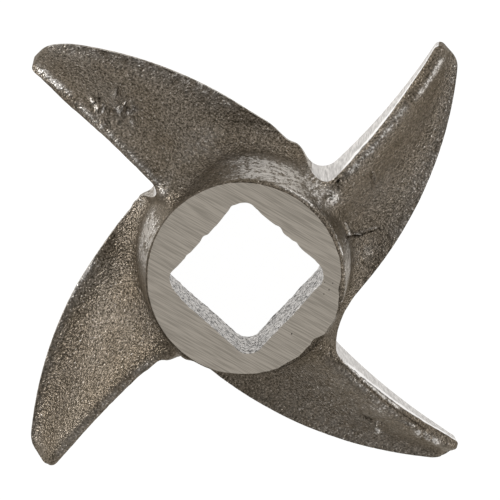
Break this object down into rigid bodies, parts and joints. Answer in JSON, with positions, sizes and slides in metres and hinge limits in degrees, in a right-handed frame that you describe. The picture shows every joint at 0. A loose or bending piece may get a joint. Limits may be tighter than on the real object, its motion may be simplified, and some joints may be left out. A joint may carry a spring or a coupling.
{
  "type": "meat grinder knife",
  "caption": "Cast cross knife for a meat grinder: swept blades with a flat ground cutting side round a hub with a machined face and a square drive hole.",
  "frame": {"origin": "on the axis of the square drive hole, in the flat cutting plane that lies against the perforated plate", "axes": "+Z along the axis, from the cutting plane to the machined face of the hub; X and Y square to the flats of the drive hole; the first blade points along +X and leads with its +Y side, so the knife turns anticlockwise seen from +Z"},
  "size_m": [0.0624, 0.0624, 0.0133],
  "materials": {
    "cast_steel": "as-cast grey-brown skin with a fine grain; hub face, leading faces and cutting side ground bright"
  },
  "bodies": {
    "root": {"knife": "cast_steel"}
  },
  "joints": []
}
